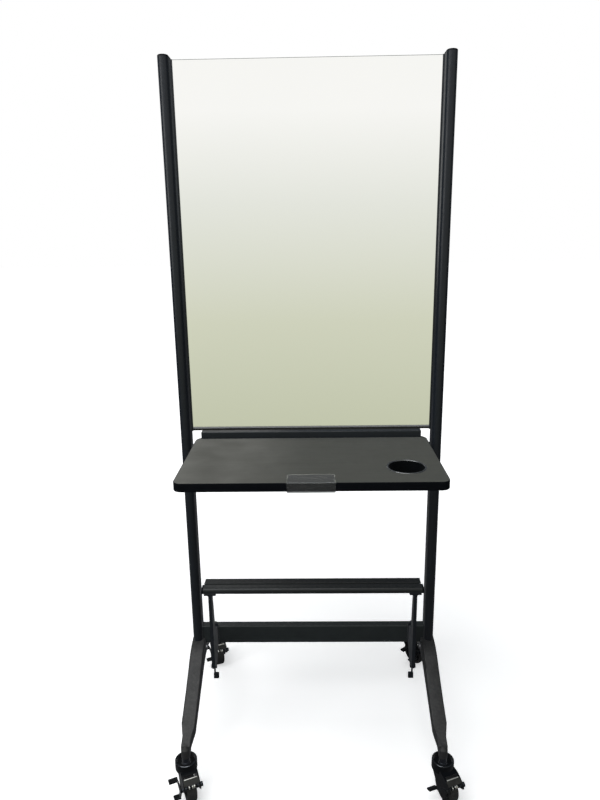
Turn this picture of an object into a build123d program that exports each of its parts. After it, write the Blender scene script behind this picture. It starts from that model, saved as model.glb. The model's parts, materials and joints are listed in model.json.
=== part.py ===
"""Mobile salon styling station: mirror, tool shelf and footrest on a frame with four casters.

Millimetres. +X is the user's right, -Y is the front, +Z is up. Each piece is drawn about a
point on the floor midway between the two posts, and save() then moves it so that the origin
is on the floor under the middle of the whole station.
"""

import os
from math import cos, radians, sin, tan

from build123d import *

# ---- Frame ----
POST_X = 330.0  # centre of each post from the middle
POST_WIDTH = 26.0
POST_DEPTH = 50.0
POST_WALL = 2.0
POST_BOTTOM = 231.0
POST_TOP = 1795.0
POST_INNER_X = POST_X - POST_WIDTH / 2
CAP_HEIGHT = 4.0
PLUG_TOP = 305.0

CROSSBAR_HEIGHT = 54.0
CROSSBAR_DEPTH = 25.0
CROSSBAR_WALL = 2.0
CROSSBAR_BOTTOM = 259.0

# ---- Feet ----
FOOT_X = 327.5  # the plane of the legs and of the caster axes
FOOT_WIDTH = 37.0
FOOT_TOP = 275.0
FOOT_UNDERSIDE = 224.5
LEG_TOP_SLOPE = 36.0
LEG_UNDER_SLOPE = 26.3
SHOULDER_Y = 79.4
UNDER_SHOULDER_Y = 60.0
CASTER_Y = 270.0
TAPER_START_Y = 215.0
NECK_Y = 248.0
NECK_WIDTH = 22.0
SOCKET_R = NECK_WIDTH / 2
SOCKET_BOTTOM = 109.0
SOCKET_SHOULDER = 132.0
SOCKET_TOP = 140.0
LEG_END_Z = 138.5
FOOT_EDGE_R = 3.5
POCKET_GAP = 0.2
FOOT_BOLT_Y = 11.0
FOOT_BOLT_Z = 245.0
FOOT_BOLT_R = 3.9
FOOT_BOLT_HOLE_R = 4.1

# ---- Mirror ----
MIRROR_WIDTH = 630.0
MIRROR_BOTTOM = 900.0
MIRROR_TOP = 1793.0
GLASS_FRONT_Y = 5.0
GLASS_THICKNESS = 5.0
BOARD_THICKNESS = 9.0
BOARD_TOP = 1787.0
STILE_WALL = 1.5
STILE_LIP_COVER = 4.5
RAIL_LENGTH = 580.0
RAIL_FRONT_Y = -9.0
RAIL_REAR_Y = 31.0
RAIL_HEIGHT = 18.0
RAIL_WALL = 2.0
RAIL_SCREW_X = (-210.0, -70.0, 70.0, 210.0)
RAIL_SCREW_Y = -2.0
STILE_SCREW_Z = (955.0, 1215.0, 1475.0, 1735.0)

# ---- Shelf ----
SHELF_WIDTH = 608.0
SHELF_FRONT_Y = -325.5
SHELF_REAR_Y = 8.0
SHELF_TOP = 875.0
SHELF_THICKNESS = 20.0
SHELF_BOTTOM = SHELF_TOP - SHELF_THICKNESS
SHELF_FRONT_R = 20.0
SHELF_REAR_R = 28.0
BAND = 1.5

CUP_X = 220.0
CUP_Y = -231.0
CUP_OUTER_R = 44.0
CUP_INNER_R = 42.0
CUP_HOLE_R = 44.4
CUP_BOTTOM = 837.0
RIM_OUTER_R = 45.6
RIM_HEIGHT = 1.6

GUARD_WIDTH = 106.0
GUARD_REACH = 48.0
GUARD_UNDER_REACH = 27.0
GUARD_WALL = 2.0

BRACKET_PLATE = 4.0
SHELF_BRACKET_WEB_X = 274.0
SHELF_BRACKET_REACH_Y = -182.0
SHELF_BRACKET_DROP = 78.0
SHELF_BOLT_Z = (797.0, 831.0)
M5_R = 2.4
M5_HOLE_R = 2.6

# ---- Footrest ----
TREAD_LENGTH = 588.0
TREAD_FRONT_Y = -90.0
TREAD_SPLIT_Y = -66.0
TREAD_REAR_Y = -38.0
TREAD_BOTTOM = 461.0
NOSE_TOP = 478.0
STRIP_TOP = 480.0
SPLIT_WIDTH = 2.5
SPLIT_DEPTH = 4.0
NOSE_UPPER_R = 8.0
NOSE_LOWER_R = 6.0
CAVITY_WALL = 3.0
CAVITY_HEIGHT = 7.5
TREAD_CAP = 4.5
CAP_TENON = 2.5
GROOVE_WIDTH = 1.5
GROOVE_DEPTH = 0.8
GROOVE_PITCH = 4.2
GROOVE_COUNT = 5
FIN_X = 277.0
FIN_THICKNESS = 9.0
FIN_FRONT_Y = -87.0
FIN_TIP_Z = 224.0
PAD_HALF = 16.0
PAD_THICKNESS = 5.0
PAD_FLARE = 3.0
PAD_LOW = TREAD_BOTTOM - PAD_THICKNESS
PAD_SCREW_OFFSET = 11.5
FLANGE_WIDTH = 14.0
FLANGE_THICKNESS = 4.0
FLANGE_BOTTOM = 255.0
FLANGE_TOP = 325.0
FLANGE_BOLT_Z = (274.0, 298.0)
FLANGE_BOLT_GRIP = 10.0
FIN_BOSS_R = 6.0
FIN_BOSS_LENGTH = 15.0

# ---- Casters: forward is the way the wheel trails, lateral is along the axle ----
WHEEL_R = 37.5
WHEEL_WIDTH = 25.0
TRAIL = 22.0
AXLE_Z = WHEEL_R
AXLE_R = 4.0
RUNNING_GAP = 0.05
CORE_R = 28.0
HUB_R = 9.0
HUB_HALF = 15.5
CROWN_R = 28.0
CROWN_BOTTOM = 78.0
CROWN_TOP = 101.0
DISH_R = 23.5
DISH_FLOOR = 90.0
KINGPIN_R = 6.0
KINGPIN_HEAD_R = 8.5
RECESS_R = 9.5
RECESS_TOP = 83.0
STEM_FLANGE_R = 11.0
STEM_FLANGE_TOP = 95.0
STEM_NUT_R = 9.5
STEM_R = 5.5
STEM_TOP = 131.0
CHEEK_INNER = 17.5
CHEEK_THICKNESS = 4.0
CHEEK_OUTER = CHEEK_INNER + CHEEK_THICKNESS
HOOD_R = 49.0
HOOD_THICKNESS = 3.0
HOOD_END_ANGLE = 45.0
CHEEK_END_ANGLE = 28.0
WINDOW_LOW_ANGLE = 63.5
WINDOW_HIGH_ANGLE = 73.0
WINDOW_WIDTH = 33.0
AXLE_BOSS_R = 10.5
BRAKE_ANGLE = 39.0  # where the brake shaft stands round the axle, above forward
BRAKE_REACH = 42.0
BRAKE_FORWARD = TRAIL + BRAKE_REACH * cos(radians(BRAKE_ANGLE))
BRAKE_Z = AXLE_Z + BRAKE_REACH * sin(radians(BRAKE_ANGLE))
BRAKE_TRAVEL = 22.0
BRAKE_SHAFT_R = 3.0
SHOE_LENGTH = 12.0
SHOE_THICKNESS = 2.5
BRAKE_KNOB_R = 6.0
PEDAL_NEAR = 26.2
PEDAL_FAR = 29.2

# Where each caster stands, and how far its wheel is turned from straight ahead.
CORNERS = {
    "front_left": (-FOOT_X, -CASTER_Y, 24.0),
    "front_right": (FOOT_X, -CASTER_Y, 22.0),
    "rear_left": (-FOOT_X, CASTER_Y, 22.0),
    "rear_right": (FOOT_X, CASTER_Y, 40.0),
}
PRESSED_BRAKES = ("front_right",)  # the other brakes stand released
SIDES = {"left": -1, "right": 1}

# The point between the posts, seen from the middle of the station's overall box. The two
# differ because the casters are not turned alike.
POSTS_FROM_ORIGIN = (-10.0, 20.0, 0.0)


def save(part, name):
    """Move one finished piece into the station's frame, label it and write its STEP file."""
    placed = part.moved(Location(POSTS_FROM_ORIGIN))
    placed.label = name
    export_step(placed, f"parts/{name}.step")


def lengthwise(x):
    """A plane across X, with its own x along +Y and its own y along +Z."""
    return Plane(origin=(x, 0, 0), x_dir=(0, 1, 0), z_dir=(1, 0, 0))


def level(corner, height):
    """A horizontal plane on a caster's swivel axis: its x is lateral, its -y is forward."""
    x, y, turn = CORNERS[corner]
    lateral = (cos(radians(turn)), sin(radians(turn)), 0)
    return Plane(origin=(x, y, height), x_dir=lateral, z_dir=(0, 0, 1))


def alongside(corner, lateral_offset):
    """A caster's upright plane: its x is forward, its y is up, and its normal is -lateral."""
    x, y, turn = CORNERS[corner]
    forward = (sin(radians(turn)), -cos(radians(turn)), 0)
    left = (-cos(radians(turn)), -sin(radians(turn)), 0)
    return Plane(origin=(x, y, 0), x_dir=forward, z_dir=left).offset(-lateral_offset)


# ---- Posts and crossbar ----
def build_post(side):
    """One upright: a flat-oval tube."""
    base = Plane(origin=(side * POST_X, 0, POST_BOTTOM))
    with BuildPart() as post:
        with BuildSketch(base):
            SlotOverall(POST_DEPTH, POST_WIDTH, rotation=90)
            SlotOverall(
                POST_DEPTH - 2 * POST_WALL, POST_WIDTH - 2 * POST_WALL, rotation=90, mode=Mode.SUBTRACT
            )
        extrude(amount=POST_TOP - POST_BOTTOM)
        with BuildSketch(lengthwise(side * POST_X)):
            with Locations((-FOOT_BOLT_Y, FOOT_BOLT_Z), (FOOT_BOLT_Y, FOOT_BOLT_Z)):
                Circle(FOOT_BOLT_HOLE_R)
        extrude(amount=POST_WIDTH, both=True, mode=Mode.SUBTRACT)
        with BuildSketch(lengthwise(side * POST_INNER_X)):
            with Locations([(0, z) for z in SHELF_BOLT_Z]):
                Circle(M5_HOLE_R)
            with Locations([(GLASS_FRONT_Y, z) for z in STILE_SCREW_Z]):
                Circle(M5_HOLE_R)
        extrude(amount=2 * POST_WALL, both=True, mode=Mode.SUBTRACT)
    return post.part


def build_post_caps():
    """Domed push-in caps that close both posts."""
    with BuildPart() as caps:
        for side in SIDES.values():
            top = Plane(origin=(side * POST_X, 0, POST_TOP))
            with BuildSketch(top):
                SlotOverall(POST_DEPTH, POST_WIDTH, rotation=90)
            extrude(amount=CAP_HEIGHT)
            with BuildSketch(top):
                SlotOverall(POST_DEPTH - 5, POST_WIDTH - 5, rotation=90)
            extrude(amount=-14)
        fillet(caps.edges().group_by(Axis.Z)[-1], CAP_HEIGHT - 0.8)
    return caps.part


def build_foot_plugs():
    """Solid blocks in the lower ends of the posts, which the foot bolts screw into."""
    with BuildPart() as plugs:
        for side in SIDES.values():
            with BuildSketch(Plane(origin=(side * POST_X, 0, POST_BOTTOM))):
                SlotOverall(
                    POST_DEPTH - 2 * POST_WALL - 0.4, POST_WIDTH - 2 * POST_WALL - 0.4, rotation=90
                )
            extrude(amount=PLUG_TOP - POST_BOTTOM)
            with BuildSketch(lengthwise(side * POST_X)):
                with Locations((-FOOT_BOLT_Y, FOOT_BOLT_Z), (FOOT_BOLT_Y, FOOT_BOLT_Z)):
                    Circle(FOOT_BOLT_HOLE_R)
            extrude(amount=POST_WIDTH, both=True, mode=Mode.SUBTRACT)
    return plugs.part


def build_crossbar():
    """Rectangular tube between the posts, coped at both ends to clear the feet."""
    middle = CROSSBAR_BOTTOM + CROSSBAR_HEIGHT / 2
    foot_inner_x = FOOT_X - FOOT_WIDTH / 2
    with BuildPart() as bar:
        with BuildSketch(Plane.YZ.offset(-POST_INNER_X)):
            with Locations((0, middle)):
                RectangleRounded(CROSSBAR_DEPTH, CROSSBAR_HEIGHT, 3)
                RectangleRounded(
                    CROSSBAR_DEPTH - 2 * CROSSBAR_WALL,
                    CROSSBAR_HEIGHT - 2 * CROSSBAR_WALL,
                    1,
                    mode=Mode.SUBTRACT,
                )
        extrude(amount=2 * POST_INNER_X)
        with BuildSketch(Plane.XZ.offset(-CROSSBAR_DEPTH)):
            for side in SIDES.values():
                with Locations((side * (foot_inner_x + 20 - 0.3), FOOT_TOP + 0.4 - 20)):
                    Rectangle(40, 40)
        extrude(amount=2 * CROSSBAR_DEPTH, mode=Mode.SUBTRACT)
        with BuildSketch(Plane.XZ.offset(-CROSSBAR_DEPTH)):
            with Locations(flange_bolt_places()):
                Circle(M5_HOLE_R)
        extrude(amount=2 * CROSSBAR_DEPTH, mode=Mode.SUBTRACT)
    return bar.part


# ---- Feet ----
def foot_profile():
    """Side outline of a foot: an arch whose legs sweep down to the front and to the rear."""
    slope = radians(LEG_TOP_SLOPE)
    top_r = SHOULDER_Y / sin(slope)
    shoulder_z = FOOT_TOP - top_r * (1 - cos(slope))
    under_r = UNDER_SHOULDER_Y / sin(radians(LEG_UNDER_SLOPE))
    under_z = FOOT_UNDERSIDE - under_r * (1 - cos(radians(LEG_UNDER_SLOPE)))
    heel_y = UNDER_SHOULDER_Y + (under_z - SOCKET_BOTTOM) / tan(radians(LEG_UNDER_SLOPE))
    with BuildLine() as outline:
        ThreePointArc(
            (-SHOULDER_Y, shoulder_z),
            (0, FOOT_TOP),
            (SHOULDER_Y, shoulder_z),
        )
        for end in (-1, 1):
            TangentArc(
                (end * SHOULDER_Y, shoulder_z),
                (end * CASTER_Y, LEG_END_Z),
                tangent=(end * cos(slope), -sin(slope)),
            )
            Polyline(
                (end * CASTER_Y, LEG_END_Z),
                (end * CASTER_Y, SOCKET_BOTTOM),
                (end * heel_y, SOCKET_BOTTOM),
                (end * UNDER_SHOULDER_Y, under_z),
            )
        ThreePointArc(
            (-UNDER_SHOULDER_Y, under_z),
            (0, FOOT_UNDERSIDE),
            (UNDER_SHOULDER_Y, under_z),
        )
    return outline.line


def build_foot(side):
    """Arched foot: a pocket for the post in the middle, a caster socket at each end."""
    outline = foot_profile()
    outer = side * FOOT_X - FOOT_WIDTH / 2
    with BuildPart() as foot:
        with BuildSketch(lengthwise(outer)):
            with BuildLine():
                add(outline)
            make_face()
        extrude(amount=FOOT_WIDTH)
        flanks = foot.faces().filter_by(Axis.X).sort_by(Axis.X)
        fillet(flanks[0].edges() + flanks[-1].edges(), FOOT_EDGE_R)
        # The legs narrow towards their sockets when seen from above.
        with BuildSketch(Plane.XY):
            with BuildLine():
                half = FOOT_WIDTH / 2
                neck = NECK_WIDTH / 2
                right_side = [
                    (half, -TAPER_START_Y),
                    (half, TAPER_START_Y),
                    (neck, NECK_Y),
                    (neck, CASTER_Y + 1),
                ]
                ring = [(neck, -CASTER_Y - 1), (neck, -NECK_Y)] + right_side
                corners = ring + [(-x, y) for x, y in reversed(ring)]
                Polyline(*[(side * FOOT_X + x, y) for x, y in corners], close=True)
            make_face()
        extrude(amount=FOOT_TOP + 10, mode=Mode.INTERSECT)
        for end in (-1, 1):
            with BuildSketch(Plane(origin=(side * FOOT_X, end * CASTER_Y, SOCKET_BOTTOM))):
                Circle(SOCKET_R)
            extrude(amount=SOCKET_SHOULDER - SOCKET_BOTTOM)
            with BuildSketch(Plane(origin=(side * FOOT_X, end * CASTER_Y, SOCKET_SHOULDER))):
                Circle(SOCKET_R)
            extrude(amount=SOCKET_TOP - SOCKET_SHOULDER, taper=38)
            with BuildSketch(Plane(origin=(side * FOOT_X, end * CASTER_Y, SOCKET_BOTTOM))):
                Circle(STEM_R + 0.1)
            extrude(amount=STEM_TOP + 0.5 - SOCKET_BOTTOM, mode=Mode.SUBTRACT)
        with BuildSketch(Plane(origin=(side * POST_X, 0, POST_BOTTOM))):
            SlotOverall(POST_DEPTH + 2 * POCKET_GAP, POST_WIDTH + 2 * POCKET_GAP, rotation=90)
        extrude(amount=100, mode=Mode.SUBTRACT)
        with BuildSketch(lengthwise(side * POST_X)):
            with Locations((-FOOT_BOLT_Y, FOOT_BOLT_Z), (FOOT_BOLT_Y, FOOT_BOLT_Z)):
                Circle(FOOT_BOLT_HOLE_R)
        extrude(amount=-side * FOOT_WIDTH, mode=Mode.SUBTRACT)
    return foot.part


def build_foot_bolts():
    """Button-head bolts from the inner face of each foot through the post and its plug."""
    head_face = FOOT_X - FOOT_WIDTH / 2
    with BuildPart() as bolts:
        for side in SIDES.values():
            with BuildSketch(lengthwise(side * head_face)):
                with Locations((-FOOT_BOLT_Y, FOOT_BOLT_Z), (FOOT_BOLT_Y, FOOT_BOLT_Z)):
                    Circle(FOOT_BOLT_R)
            extrude(amount=side * (POST_X + POST_WIDTH / 2 - 1 - head_face))
            with BuildSketch(lengthwise(side * head_face)):
                with Locations((-FOOT_BOLT_Y, FOOT_BOLT_Z), (FOOT_BOLT_Y, FOOT_BOLT_Z)):
                    Circle(6.8)
                    RegularPolygon(2.6, 6, mode=Mode.SUBTRACT)
            extrude(amount=-side * 4.5)
    return bolts.part


# ---- Mirror ----
def build_mirror_glass():
    """Frameless silvered glass with a small arris all round."""
    with BuildPart() as glass:
        with BuildSketch(Plane.XZ.offset(-GLASS_FRONT_Y)):
            with Locations((0, (MIRROR_BOTTOM + MIRROR_TOP) / 2)):
                Rectangle(MIRROR_WIDTH, MIRROR_TOP - MIRROR_BOTTOM)
        extrude(amount=-GLASS_THICKNESS)
        chamfer(glass.faces().sort_by(Axis.Y)[0].edges(), 0.6)
    return glass.part


def build_mirror_backboard():
    """Board behind the glass, standing on the rail."""
    bottom = SHELF_TOP + RAIL_HEIGHT
    with BuildPart() as board:
        with BuildSketch(Plane.XZ.offset(-GLASS_FRONT_Y - GLASS_THICKNESS)):
            with Locations((0, (bottom + BOARD_TOP) / 2)):
                Rectangle(MIRROR_WIDTH, BOARD_TOP - bottom)
        extrude(amount=-BOARD_THICKNESS)
    return board.part


def build_mirror_stile(side):
    """Channel on the inner face of a post, which holds the edge of glass and board."""
    front = GLASS_FRONT_Y - 0.3 - 2 * STILE_WALL
    rear = GLASS_FRONT_Y + GLASS_THICKNESS + BOARD_THICKNESS + 0.3 + STILE_WALL
    inner = POST_INNER_X - STILE_LIP_COVER
    with BuildPart() as stile:
        with BuildSketch(Plane.XY.offset(SHELF_TOP + RAIL_HEIGHT + 1)):
            with BuildLine():
                Polyline(
                    (side * POST_INNER_X, front),
                    (side * inner, front),
                    (side * inner, front + 2 * STILE_WALL),
                    (side * (POST_INNER_X - STILE_WALL), front + 2 * STILE_WALL),
                    (side * (POST_INNER_X - STILE_WALL), rear - STILE_WALL),
                    (side * (inner - 4), rear - STILE_WALL),
                    (side * (inner - 4), rear),
                    (side * POST_INNER_X, rear),
                    close=True,
                )
            make_face()
        extrude(amount=MIRROR_TOP - SHELF_TOP - RAIL_HEIGHT - 1)
        with BuildSketch(lengthwise(side * POST_INNER_X)):
            with Locations([(GLASS_FRONT_Y, z) for z in STILE_SCREW_Z]):
                Circle(M5_HOLE_R)
        extrude(amount=2 * STILE_WALL, both=True, mode=Mode.SUBTRACT)
    return stile.part


def build_stile_screws():
    """Flush screws that hold the stiles to the posts."""
    with BuildPart() as screws:
        for side in SIDES.values():
            with BuildSketch(lengthwise(side * (POST_INNER_X - STILE_WALL))):
                with Locations([(GLASS_FRONT_Y, z) for z in STILE_SCREW_Z]):
                    Circle(M5_R)
            extrude(amount=side * 8)
    return screws.part


def build_mirror_rail():
    """Flat tube with closed ends that stands on the back of the shelf and carries the mirror."""
    with BuildPart() as rail:
        with BuildSketch(Plane.YZ.offset(-RAIL_LENGTH / 2)):
            with Locations(((RAIL_FRONT_Y + RAIL_REAR_Y) / 2, SHELF_TOP + RAIL_HEIGHT / 2)):
                RectangleRounded(RAIL_REAR_Y - RAIL_FRONT_Y, RAIL_HEIGHT, 1.5)
        extrude(amount=RAIL_LENGTH)
        with BuildSketch(Plane.YZ.offset(RAIL_WALL - RAIL_LENGTH / 2)):
            with Locations(((RAIL_FRONT_Y + RAIL_REAR_Y) / 2, SHELF_TOP + RAIL_HEIGHT / 2)):
                Rectangle(
                    RAIL_REAR_Y - RAIL_FRONT_Y - 2 * RAIL_WALL,
                    RAIL_HEIGHT - 2 * RAIL_WALL,
                )
        extrude(amount=RAIL_LENGTH - 2 * RAIL_WALL, mode=Mode.SUBTRACT)
        with BuildSketch(Plane.XY.offset(SHELF_TOP)):
            with Locations([(x, RAIL_SCREW_Y) for x in RAIL_SCREW_X]):
                Circle(M5_HOLE_R)
        extrude(amount=RAIL_WALL, mode=Mode.SUBTRACT)
    return rail.part


# ---- Shelf ----
def shelf_outline(inset):
    """Shelf plan with rounded corners, drawn this far inside its finished edge."""
    half = SHELF_WIDTH / 2 - inset
    front = SHELF_FRONT_Y + inset
    rear = SHELF_REAR_Y - inset
    with BuildSketch(mode=Mode.PRIVATE) as plan:
        with BuildLine():
            FilletPolyline(
                (-half, front),
                (half, front),
                (half, rear),
                (-half, rear),
                close=True,
                radius=[
                    SHELF_FRONT_R - inset,
                    SHELF_FRONT_R - inset,
                    SHELF_REAR_R - inset,
                    SHELF_REAR_R - inset,
                ],
            )
        make_face()
    return plan.sketch


def shelf_screw_places():
    """Where the brackets are screwed to the shelf."""
    return [
        (side * x, y)
        for side in SIDES.values()
        for x, y in ((262.0, -40.0), (262.0, -105.0), (262.0, -170.0))
    ]


def build_shelf_board():
    """Laminated board with the round hole for the dryer cup."""
    with BuildPart() as board:
        with BuildSketch(Plane.XY.offset(SHELF_BOTTOM)):
            add(shelf_outline(BAND))
            with Locations((CUP_X, CUP_Y)):
                Circle(CUP_HOLE_R, mode=Mode.SUBTRACT)
        extrude(amount=SHELF_THICKNESS)
        with BuildSketch(Plane.XY.offset(SHELF_BOTTOM)):
            with Locations(shelf_screw_places()):
                Circle(M5_HOLE_R)
        extrude(amount=13, mode=Mode.SUBTRACT)
        with BuildSketch(Plane.XY.offset(SHELF_BOTTOM)):
            with Locations([(x, RAIL_SCREW_Y) for x in RAIL_SCREW_X]):
                Circle(M5_HOLE_R)
        extrude(amount=SHELF_THICKNESS, mode=Mode.SUBTRACT)
    return board.part


def build_shelf_band():
    """Dark edging strip round the board, with its outer arrises eased."""
    with BuildPart() as band:
        with BuildSketch(Plane.XY.offset(SHELF_BOTTOM)):
            add(shelf_outline(0))
        extrude(amount=SHELF_THICKNESS)
        fillet(band.edges().group_by(Axis.Z)[0] + band.edges().group_by(Axis.Z)[-1], 1.0)
        with BuildSketch(Plane.XY.offset(SHELF_BOTTOM)):
            add(shelf_outline(BAND))
        extrude(amount=SHELF_THICKNESS, mode=Mode.SUBTRACT)
    return band.part


def build_shelf_bracket(side):
    """Welded steel bracket: post plate, rear web, arm under the shelf and a gusset."""
    top = SHELF_BOTTOM
    plate_x = POST_INNER_X - BRACKET_PLATE
    low = top - SHELF_BRACKET_DROP

    with BuildPart() as bracket:
        # Plate on the post's flat inner face.
        with BuildSketch(lengthwise(side * plate_x)):
            with Locations((0, (top + low) / 2)):
                Rectangle(24, top - low)
        extrude(amount=side * BRACKET_PLATE)
        # Rear web from the plate to the gusset.
        with BuildSketch(Plane.XZ.offset(BRACKET_PLATE / 2)):
            with Locations((side * (plate_x + SHELF_BRACKET_WEB_X) / 2, (top + low) / 2)):
                Rectangle(plate_x - SHELF_BRACKET_WEB_X, top - low)
        extrude(amount=-BRACKET_PLATE)
        # Arm under the board.
        with BuildSketch(Plane.XY.offset(top - BRACKET_PLATE)):
            with BuildLine():
                Polyline(
                    (side * plate_x, 2),
                    (side * plate_x, -12),
                    (side * (SHELF_BRACKET_WEB_X + BRACKET_PLATE), -45),
                    (side * (SHELF_BRACKET_WEB_X + BRACKET_PLATE), SHELF_BRACKET_REACH_Y),
                    (side * (SHELF_BRACKET_WEB_X - 24), SHELF_BRACKET_REACH_Y),
                    (side * (SHELF_BRACKET_WEB_X - 24), 2),
                    close=True,
                )
            make_face()
        extrude(amount=BRACKET_PLATE)
        # Gusset, deep at the post and shallow at the front.
        with BuildSketch(lengthwise(side * SHELF_BRACKET_WEB_X)):
            with BuildLine():
                Polyline(
                    (2, top - BRACKET_PLATE),
                    (2, low),
                    (-14, low),
                    (SHELF_BRACKET_REACH_Y + 8, top - BRACKET_PLATE - 8),
                    (SHELF_BRACKET_REACH_Y + 8, top - BRACKET_PLATE),
                    close=True,
                )
            make_face()
        extrude(amount=side * BRACKET_PLATE)
        with BuildSketch(lengthwise(side * plate_x)):
            with Locations([(0, z) for z in SHELF_BOLT_Z]):
                Circle(M5_HOLE_R)
        extrude(amount=side * BRACKET_PLATE, mode=Mode.SUBTRACT)
        with BuildSketch(Plane.XY.offset(top - BRACKET_PLATE)):
            with Locations(shelf_screw_places()):
                Circle(M5_HOLE_R)
        extrude(amount=BRACKET_PLATE, mode=Mode.SUBTRACT)
    return bracket.part


def build_shelf_bracket_bolts():
    """Bolts that hold the shelf brackets to the posts, beside the rear web."""
    head = POST_INNER_X - BRACKET_PLATE
    with BuildPart() as bolts:
        for side in SIDES.values():
            with BuildSketch(lengthwise(side * head)):
                with Locations([(0, z) for z in SHELF_BOLT_Z]):
                    Circle(M5_R)
            extrude(amount=side * 12)
    return bolts.part


def build_shelf_screws():
    """Pan-head screws up through the bracket arms into the board, and through it to the rail."""
    under_arm = SHELF_BOTTOM - BRACKET_PLATE
    rail_places = [(x, RAIL_SCREW_Y) for x in RAIL_SCREW_X]
    with BuildPart() as screws:
        with BuildSketch(Plane.XY.offset(under_arm)):
            with Locations(shelf_screw_places()):
                Circle(M5_R)
        extrude(amount=16)
        with BuildSketch(Plane.XY.offset(under_arm)):
            with Locations(shelf_screw_places()):
                Circle(4.6)
        extrude(amount=-2.8)
        with BuildSketch(Plane.XY.offset(SHELF_BOTTOM)):
            with Locations(rail_places):
                Circle(M5_R)
        extrude(amount=SHELF_THICKNESS + 8)
        with BuildSketch(Plane.XY.offset(SHELF_BOTTOM)):
            with Locations(rail_places):
                Circle(4.6)
        extrude(amount=-2.8)
    return screws.part


def build_dryer_cup():
    """Cup that hangs in the shelf and holds a hair dryer, with a drain hole in its floor."""
    with BuildPart() as cup:
        with BuildSketch(Plane(origin=(CUP_X, CUP_Y, CUP_BOTTOM))):
            Circle(CUP_OUTER_R)
        extrude(amount=SHELF_TOP - CUP_BOTTOM)
        with BuildSketch(Plane(origin=(CUP_X, CUP_Y, CUP_BOTTOM + 2))):
            Circle(CUP_INNER_R)
        extrude(amount=SHELF_TOP - CUP_BOTTOM, mode=Mode.SUBTRACT)
        with BuildSketch(Plane(origin=(CUP_X, CUP_Y, CUP_BOTTOM))):
            Circle(6)
        extrude(amount=3, mode=Mode.SUBTRACT)
    return cup.part


def build_cup_rim():
    """Bright ring on the shelf round the cup's mouth."""
    with BuildPart() as rim:
        with BuildSketch(Plane(origin=(CUP_X, CUP_Y, SHELF_TOP))):
            Circle(RIM_OUTER_R)
            Circle(CUP_INNER_R, mode=Mode.SUBTRACT)
        extrude(amount=RIM_HEIGHT)
        fillet(rim.edges().group_by(Axis.Z)[-1], 0.9)
    return rim.part


def build_edge_guard():
    """Clear clip over the middle of the shelf's front edge."""
    nose = SHELF_FRONT_Y - GUARD_WALL
    with BuildPart() as guard:
        with BuildSketch(Plane.YZ.offset(-GUARD_WIDTH / 2)):
            with BuildLine():
                Polyline(
                    (nose, SHELF_BOTTOM - GUARD_WALL),
                    (nose, SHELF_TOP + GUARD_WALL),
                    (SHELF_FRONT_Y + GUARD_REACH, SHELF_TOP + GUARD_WALL),
                    (SHELF_FRONT_Y + GUARD_REACH, SHELF_TOP),
                    (SHELF_FRONT_Y, SHELF_TOP),
                    (SHELF_FRONT_Y, SHELF_BOTTOM),
                    (SHELF_FRONT_Y + GUARD_UNDER_REACH, SHELF_BOTTOM),
                    (SHELF_FRONT_Y + GUARD_UNDER_REACH, SHELF_BOTTOM - GUARD_WALL),
                    close=True,
                )
            make_face()
        extrude(amount=GUARD_WIDTH)
        fillet(guard.edges().filter_by(Axis.Z).group_by(Axis.Y)[-1], 7)
        fillet(guard.edges().filter_by(Axis.X).group_by(Axis.Y)[0], 1.2)
    return guard.part


# ---- Footrest ----
def nose_outline():
    """Section of the tread's rounded nose."""
    with BuildSketch(mode=Mode.PRIVATE) as section:
        with BuildLine():
            FilletPolyline(
                (TREAD_FRONT_Y, TREAD_BOTTOM),
                (TREAD_FRONT_Y, NOSE_TOP),
                (TREAD_SPLIT_Y, NOSE_TOP),
                (TREAD_SPLIT_Y, TREAD_BOTTOM),
                close=True,
                radius=[NOSE_LOWER_R, NOSE_UPPER_R, 1.0, 1.5],
            )
        make_face()
    return section.sketch


def tread_screw_places():
    """Two screws through each bracket pad into the tread."""
    return [
        (side * FIN_X + offset_x, (TREAD_FRONT_Y + TREAD_REAR_Y) / 2)
        for side in SIDES.values()
        for offset_x in (-PAD_SCREW_OFFSET, PAD_SCREW_OFFSET)
    ]


def flange_bolt_places():
    """Two bolts, one above the other, in line with each fin."""
    return [(side * FIN_X, z) for side in SIDES.values() for z in FLANGE_BOLT_Z]


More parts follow.
